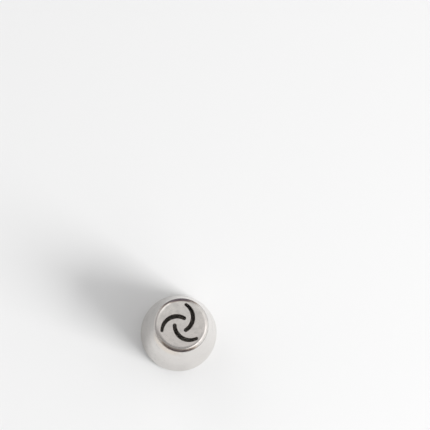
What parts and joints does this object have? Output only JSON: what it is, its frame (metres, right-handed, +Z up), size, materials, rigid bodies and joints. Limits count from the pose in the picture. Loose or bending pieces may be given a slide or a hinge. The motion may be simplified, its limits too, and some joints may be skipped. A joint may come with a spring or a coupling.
{
  "type": "piping nozzle",
  "caption": "Tapered sheet-steel piping nozzle whose raised flat cap has curved slots that squeeze out a swirled flower in one press.",
  "frame": {"origin": "centre of the nozzle's base, in the plane that it stands on", "axes": "+Z up the nozzle's axis from the wide end to the slotted tip; +X crosses one slot near its middle, and the slots curl counter-clockwise outwards when the tip is seen from above"},
  "size_m": [0.034, 0.034, 0.0383],
  "materials": {
    "shell_steel": "bright drawn stainless steel with fine rings from spinning and polishing",
    "cap_steel": "satin stainless steel with a polished shoulder",
    "weld_steel": "weld bead with a brown heat tint"
  },
  "bodies": {
    "root": {"cone_shell": "shell_steel", "slotted_cap": "cap_steel", "weld_bead": "weld_steel"}
  },
  "joints": []
}
